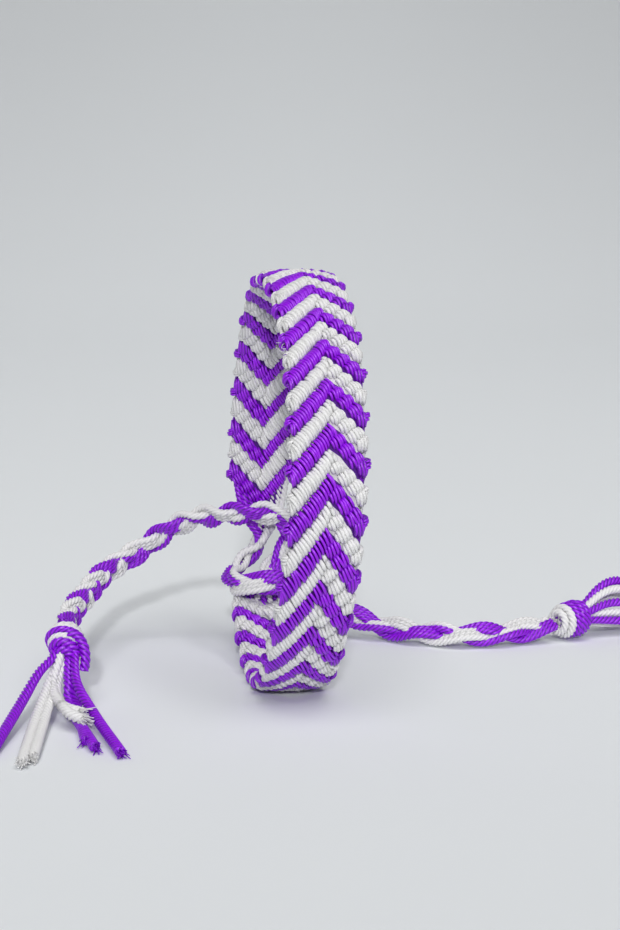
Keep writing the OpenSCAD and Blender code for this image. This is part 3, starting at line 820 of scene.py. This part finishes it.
def frayed_tips(ends):
    """Loose fibres at the cut ends of threads, given as (tip, heading). A fibre starts at a
    random place of the tip's disc, radius * sqrt(random), leans outward by its place, and bends
    as s^2 along it."""
    tips = np.repeat(np.array([tip for tip, _ in ends]), TIP_FIBRES, axis=0)
    heads = unit(np.repeat(np.array([head for _, head in ends]), TIP_FIBRES, axis=0))
    count = len(tips)
    side = unit(np.cross(heads, np.array([0.1, 0.2, 1.0])))
    up = np.cross(side, heads)
    r = np.sqrt(rng.random(count))[:, None]
    a = 2 * np.pi * rng.random(count)[:, None]
    out = r * (np.cos(a) * side + np.sin(a) * up)
    s = np.linspace(0, 1, len(TIP_R))[None, :, None]
    reach = (FRAY_LENGTH + FRAY_MORE * rng.random(count))[:, None, None]
    stray = rng.normal(0, FRAY_CHANCE, (count, 1, 3))
    paths = (tips[:, None] - FRAY_SINK * heads[:, None] + FRAY_SPREAD * out[:, None]
             + s * (reach + FRAY_SINK) * (heads[:, None] + FRAY_LEAN * out[:, None])
             + s ** 2 * stray)
    paths[..., 2] = np.maximum(paths[..., 2], LOWEST)
    return sweep(paths, side[:, None], TIP_R, around=5)


for tail, centre, axis in (("left", LEFT_KNOT, LEFT_AXIS), ("right", RIGHT_KNOT, RIGHT_AXIS)):
    t, side, up = knot_axes(axis)
    for word, material in threads.items():
        parts = [build_knot_wrap(centre, axis, *turn)
                 for colour, *turn in WRAPS[tail] if colour == word]
        if (tail, word) == ("left", "purple"):
            path, _ = smooth_path(HANGING_END, TASSEL_STEP)
            parts.append(thread(path, carried_side(path, (1, 0, 0))[0], HANGING_R))
        piece = make_mesh(f"{tail}_end_knot_{word}", *join(parts))
        finish_piece(piece, material, f"{tail}_end_knot")
        parts, tips = [], []
        for colour, root, *way in TASSELS[tail]:
            if colour == word:
                start = centre + root[0] * side + root[1] * up
                path, along = smooth_path([start - KNOT_BACK * t, start + KNOT_FRONT * t, *way],
                                          TASSEL_STEP)
                opened = np.clip((along - LOOSE_FROM) / LOOSE_RUN, 0, 1)
                parts.append(thread(path, carried_side(path, up)[0],
                                    TIGHT_R + (THREAD_R - TIGHT_R) * opened))
                tips.append((path[-1], path[-1] - path[-5]))
        piece = make_mesh(f"{tail}_tassel_{word}", *join([*parts, frayed_tips(tips)]))
        finish_piece(piece, material, f"{tail}_tassel")


# Floor, light and camera, in metres
SIDE_START, BACK_START = 2.6, 0.6  # where the floor starts to curve up
CURVE_R, CURVE_POINTS, WALL_TOP = 1.4, 24, 3.0
FLAT_LINE = 0.2  # the mesh's first line beside its middle
PAPER_COLOUR = (0.80, 0.825, 0.845)
# Painted light on the paper: its brightness at places from front to back
PAINTED_PAPER_LIGHT = ((-3.0, 0.5), (-1.4, 0.55), (-0.5, 0.8), (-0.1, 0.92), (-0.02, 0.98), (0.06, 1.01),
         (0.32, 1.05), (0.6, 1.1), (0.84, 1.07), (1.02, 1.02), (1.16, 0.97), (1.29, 0.92),
         (1.5, 0.84))
PAINTED_STRIP_LIGHT, PAINTED_STRIP_W, PAINTED_STRIP_SLOPE = 1.07, 0.3, 0.175  # the painted strip of light: share, half width, slope


def stage_side(start):
    """One side of the stage: flat up to start, a quarter circle up, then a wall. Gives the places
    and heights in metres."""
    curve = np.radians(np.linspace(0, 90, CURVE_POINTS))
    return (np.concatenate([[FLAT_LINE], start + CURVE_R * np.sin(curve), [start + CURVE_R]]),
            np.concatenate([[0.0], CURVE_R * (1 - np.cos(curve)), [WALL_TOP]]))


def paper_material():
    """Matt paper with painted light: its brightness follows the table from front to back, and a
    strip from front to back is a little brighter, a painted pool of light, by a smooth step of
    the distance from its middle line."""
    material, tree, shader = new_material("floor_paper")
    place = add(tree, "TexCoord")
    split = add(tree, "SeparateXYZ", [(0, place.outputs["Object"])])
    front, back = PAINTED_PAPER_LIGHT[0][0], PAINTED_PAPER_LIGHT[-1][0]
    depth = add(tree, "MapRange", [("Value", split.outputs[1]), ("From Min", front),
                                   ("From Max", back)])
    tone = add(tree, "ValToRGB", [(0, depth.outputs[0])])
    stops = tone.color_ramp.elements
    for y, _ in PAINTED_PAPER_LIGHT[1:-1]:
        stops.new((y - front) / (back - front))
    for stop, (y, share) in zip(stops, PAINTED_PAPER_LIGHT):
        stop.position = (y - front) / (back - front)
        stop.color = (*(part * share for part in PAPER_COLOUR), 1)
    # Painted light: the strip along the middle is brighter
    strip = calc(tree, "MULTIPLY", split.outputs[1], PAINTED_STRIP_SLOPE)
    aside = calc(tree, "ABSOLUTE", calc(tree, "SUBTRACT", split.outputs[0], strip))
    glow = add(tree, "MapRange", [("Value", aside), ("From Max", PAINTED_STRIP_W),
                                  ("To Min", PAINTED_STRIP_LIGHT), ("To Max", 1.0)],
               interpolation_type="SMOOTHSTEP")
    lit = add(tree, "VectorMath", [(0, tone.outputs[0]), ("Scale", glow.outputs[0])],
              operation="SCALE")
    tree.links.new(lit.outputs[0], shader.inputs["Base Color"])
    shader.inputs["Roughness"].default_value = 0.9
    shader.inputs["Specular IOR Level"].default_value = 0.1
    return material


def build_stage():
    """A pale floor that curves up on all sides: the height is the sum of the profile along x and
    the profile along y."""
    side, side_z = stage_side(SIDE_START)
    back, back_z = stage_side(BACK_START)
    x, x_z = np.concatenate([-side[::-1], side]), np.concatenate([side_z[::-1], side_z])
    y, y_z = np.concatenate([-side[::-1], back]), np.concatenate([side_z[::-1], back_z])
    points = np.stack(np.broadcast_arrays(x[None, :], y[:, None], x_z[None, :] + y_z[:, None]), -1)
    i, k = np.meshgrid(np.arange(len(y) - 1), np.arange(len(x) - 1), indexing="ij")
    first = i * len(x) + k
    quads = np.stack([first, first + 1, first + len(x) + 1, first + len(x)], -1).reshape(-1, 4)
    floor = make_mesh("floor", points.reshape(-1, 3) / MM, quads, np.zeros((0, 3), int))
    floor.data.materials.append(paper_material())


def area_light(name, place, target, size, power, colour):
    """Soft square light at a place, turned to a target."""
    data = bpy.data.lights.new(name, "AREA")
    data.size = size
    data.energy = power
    data.color = colour
    lamp = bpy.data.objects.new(name, data)
    lamp.location = place
    lamp.rotation_euler = (Vector(target) - Vector(place)).to_track_quat("-Z", "Y").to_euler()
    bpy.context.scene.collection.objects.link(lamp)


build_stage()
area_light("soft_box_over", place=(0.1, -2.0, 3.3), target=(0, 0, 0.0), size=3.2, power=101.0,
           colour=(1.0, 0.99, 0.98))
area_light("soft_box_front", place=(-0.304, -1.842, 0.736), target=(0, 0, 0.01), size=0.1,
           power=20.5, colour=(1.0, 1.0, 1.0))

world = bpy.data.worlds.new("studio")
world.use_nodes = True
room = world.node_tree.nodes["Background"]
room.inputs["Color"].default_value = (0.93, 0.96, 1.0, 1)
room.inputs["Strength"].default_value = 0.045
bpy.context.scene.world = world

CAMERA_PLACE, CAMERA_AIM = (-37.24, -231.20, 56.85), (3.27, -0.18, 27.55)  # in millimetres
camera_data = bpy.data.cameras.new("camera")
camera_data.sensor_fit = "VERTICAL"
camera_data.sensor_height = 36.0
camera_data.lens = 73.56
camera_data.clip_start = 0.01
camera = bpy.data.objects.new("camera", camera_data)
camera.location = np.array(CAMERA_PLACE) * MM
camera_aim = Vector(np.array(CAMERA_AIM) * MM)
camera.rotation_euler = (camera_aim - camera.location).to_track_quat("-Z", "Y").to_euler()
bpy.context.scene.collection.objects.link(camera)
bpy.context.scene.camera = camera
bpy.context.scene.view_settings.view_transform = "Standard"
